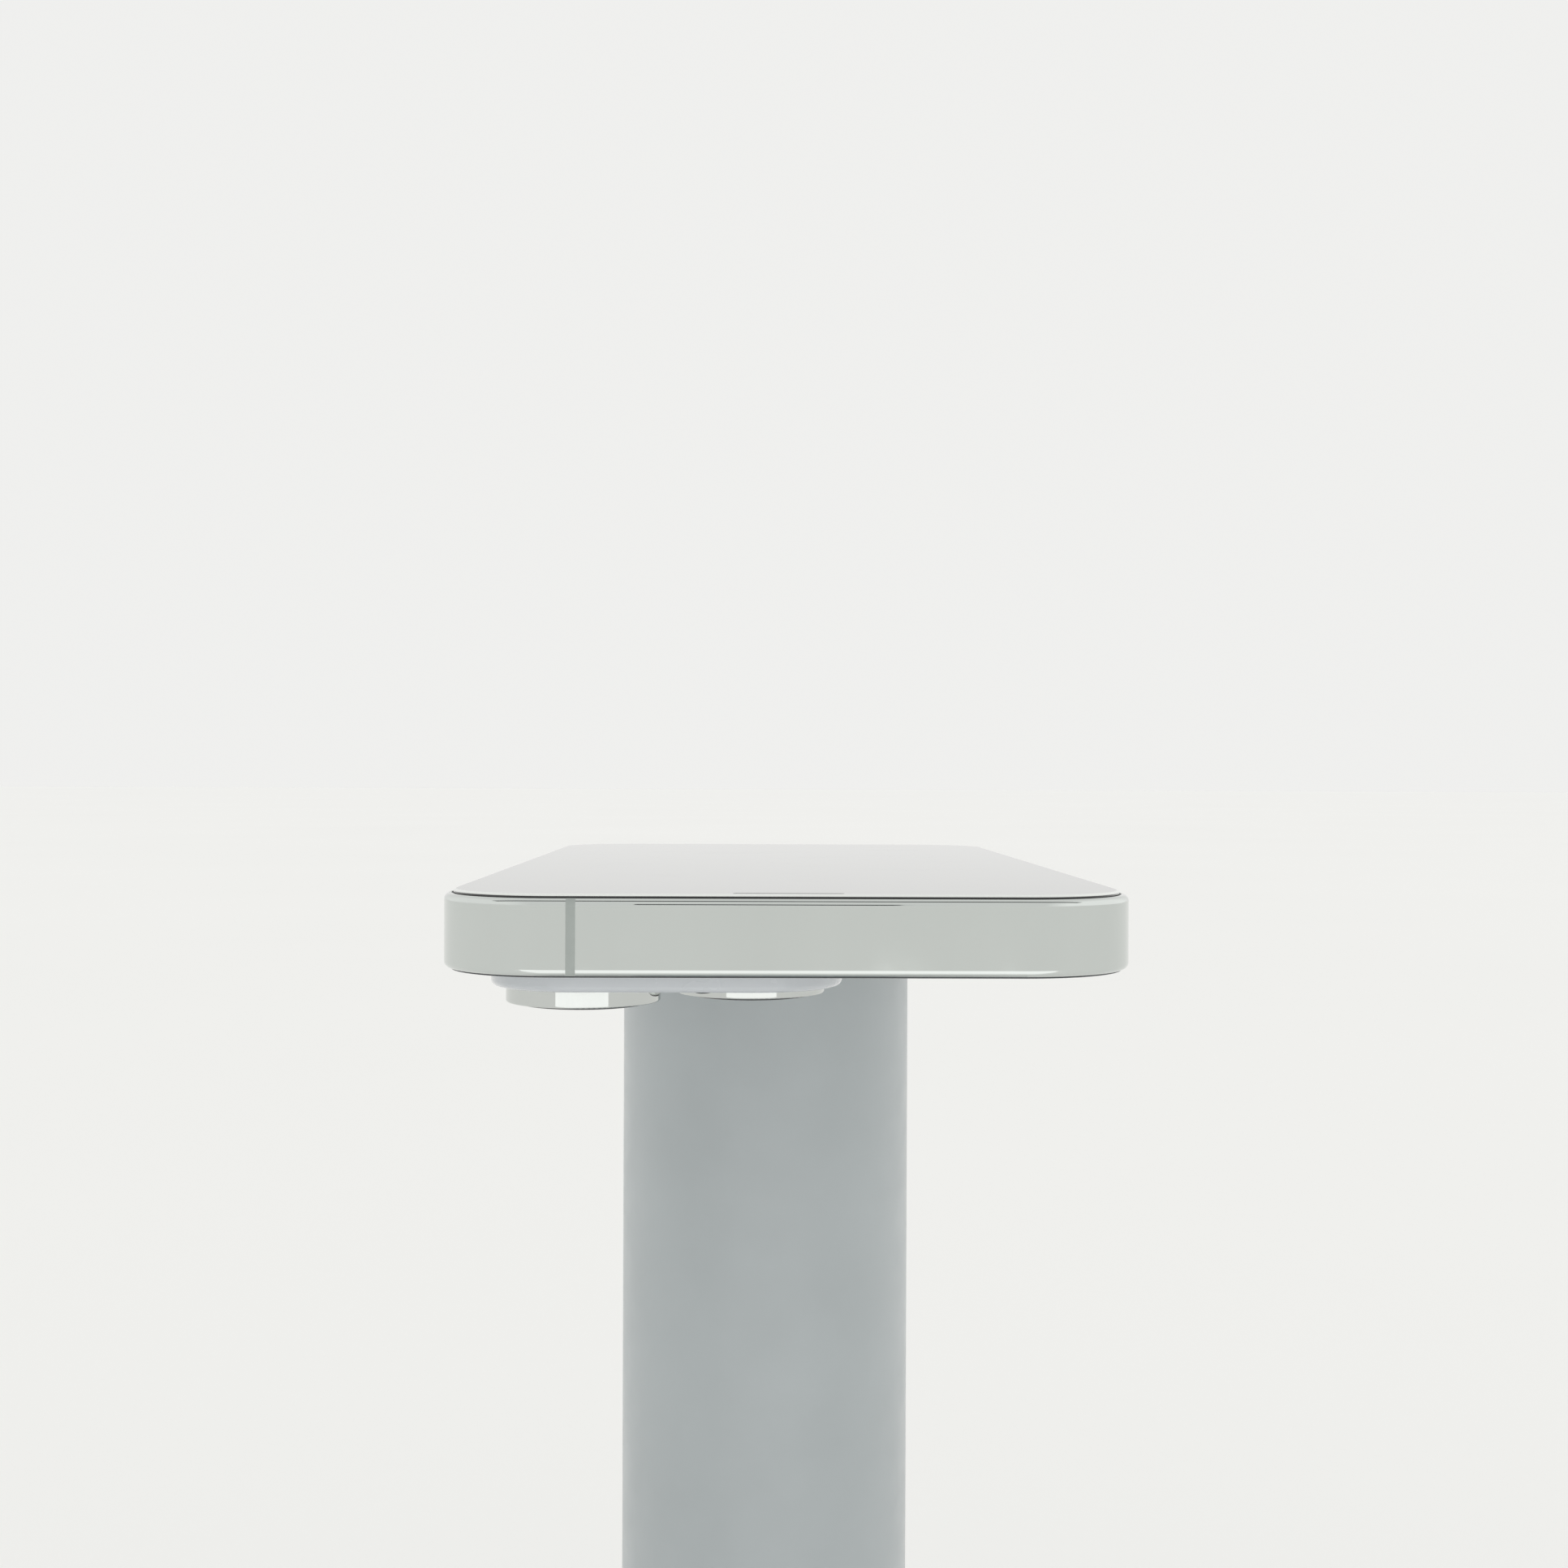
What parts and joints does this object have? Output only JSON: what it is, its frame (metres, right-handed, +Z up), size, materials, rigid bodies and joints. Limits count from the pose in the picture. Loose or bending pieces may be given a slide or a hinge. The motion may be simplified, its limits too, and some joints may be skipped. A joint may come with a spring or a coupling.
{
  "type": "phone security display stand",
  "caption": "Retail display stand: a demonstration phone lies flat on a round post and lifts off its dock on a tethered puck, with working buttons, card tray and recoil reel.",
  "frame": {"origin": "centre of the face that rests on the counter, on the post's axis", "axes": "+Z up along the post; the handset's top end faces -Y, its screen faces +Z, its wake button is on the -X side"},
  "size_m": [0.104, 0.1466, 0.1663],
  "materials": {
    "post_coat": "satin powder coat",
    "base_coat": "satin powder coat",
    "plate_steel": "zinc-plated steel",
    "screw_steel": "blackened screw steel",
    "foot_rubber": "soft black rubber",
    "reel_plastic": "moulded acetal",
    "spring_steel": "blued spring strip",
    "board_green": "solder-masked board",
    "chip_black": "moulded component",
    "cell_wrap": "wrapped cell",
    "plug_metal": "turned aluminium",
    "guide_plastic": "natural nylon",
    "dock_metal": "anodised aluminium",
    "magnet_nickel": "nickel plate",
    "contact_gold": "gold plate",
    "puck_plastic": "fine-grained plastic",
    "pad_foam": "foam adhesive",
    "band_metal": "polished stainless steel",
    "band_plastic": "filled resin",
    "gasket_black": "seal",
    "cover_glass": "polished glass over a dark display",
    "back_frost": "frosted glass",
    "deck_glass": "polished tinted glass",
    "lens_glass": "coated lens glass",
    "barrel_black": "anti-glare black",
    "flash_plastic": "ribbed diffuser",
    "display_black": "display laminate",
    "sheet_metal": "stamped sheet",
    "copper_coil": "enamelled copper"
  },
  "bodies": {
    "stand": {"foot_ring": "foot_rubber", "base_plate": "plate_steel", "base_cover": "base_coat", "base_screws": "screw_steel", "cable_grommet": "foot_rubber", "reel_spindle": "plate_steel", "reel_clip": "spring_steel", "reel_spring": "spring_steel", "alarm_board": "board_green", "alarm_components": "chip_black", "sounder": "chip_black", "backup_cell": "cell_wrap", "post_tube": "post_coat", "post_foot": "plug_metal", "post_screws": "screw_steel", "tether_tube": "guide_plastic", "dock_cup": "dock_metal", "dock_magnets": "magnet_nickel", "dock_board": "board_green"},
    "head": {"puck_shell": "puck_plastic", "puck_cover": "puck_plastic", "contact_ring": "contact_gold", "puck_keeper": "plate_steel", "puck_board": "board_green", "tether_ferrule": "plate_steel", "adhesive_pad": "pad_foam", "phone_frame": "band_metal", "antenna_bands": "band_plastic", "front_glass": "cover_glass", "glass_gaskets": "gasket_black", "back_glass": "back_frost", "camera_deck": "deck_glass", "lens_glasses": "lens_glass", "lens_barrels": "barrel_black", "camera_sensors": "chip_black", "flash_lens": "flash_plastic", "depth_sensor_window": "lens_glass", "display_panel": "display_black", "mid_plate": "sheet_metal", "front_sensor_module": "barrel_black", "earpiece_speaker": "chip_black", "button_switches": "chip_black", "sim_reader": "sheet_metal", "battery": "puck_plastic", "logic_board": "board_green", "board_shields": "sheet_metal", "charging_coil": "copper_coil", "speaker_box": "chip_black", "charge_port": "sheet_metal", "end_screws": "plate_steel", "lens_ring_1": "band_metal", "lens_ring_2": "band_metal", "lens_ring_3": "band_metal"},
    "side_button": {"side_button": "band_metal"},
    "volume_up_button": {"volume_up_button": "band_metal"},
    "volume_down_button": {"volume_down_button": "band_metal"},
    "ring_switch": {"ring_switch": "band_metal"},
    "sim_tray": {"sim_tray": "band_metal"},
    "reel": {"reel_drum": "reel_plastic"},
    "contact_pins": {"contact_pins": "contact_gold"}
  },
  "joints": [
    {"name": "head_lift", "type": "slide", "parent": "stand", "child": "head", "axis": [0, 0, 1], "range_m": [0, 0.25]},
    {"name": "reel_turn", "type": "hinge", "parent": "stand", "child": "reel", "pos_m": [0, 0, 0.01], "axis": [0, 0, 1], "range_deg": [0, 667]},
    {"name": "pin_travel", "type": "slide", "parent": "stand", "child": "contact_pins", "axis": [0, 0, 1], "range_m": [-0.0008, 0], "stiffness_N_per_m": 300},
    {"name": "side_button_press", "type": "slide", "parent": "head", "child": "side_button", "axis": [1, 0, 0], "range_m": [0, 0.00025], "stiffness_N_per_m": 400},
    {"name": "volume_up_press", "type": "slide", "parent": "head", "child": "volume_up_button", "axis": [-1, 0, 0], "range_m": [0, 0.00025], "stiffness_N_per_m": 400},
    {"name": "volume_down_press", "type": "slide", "parent": "head", "child": "volume_down_button", "axis": [-1, 0, 0], "range_m": [0, 0.00025], "stiffness_N_per_m": 400},
    {"name": "ring_switch_slide", "type": "slide", "parent": "head", "child": "ring_switch", "axis": [0, 0, 1], "range_m": [0, 0.001]},
    {"name": "sim_tray_pull", "type": "slide", "parent": "head", "child": "sim_tray", "axis": [1, 0, 0], "range_m": [0, 0.024]}
  ],
  "couplings": [
    {"joint": "reel_turn", "follows": "head_lift", "rad_per_m": 46.512}
  ]
}
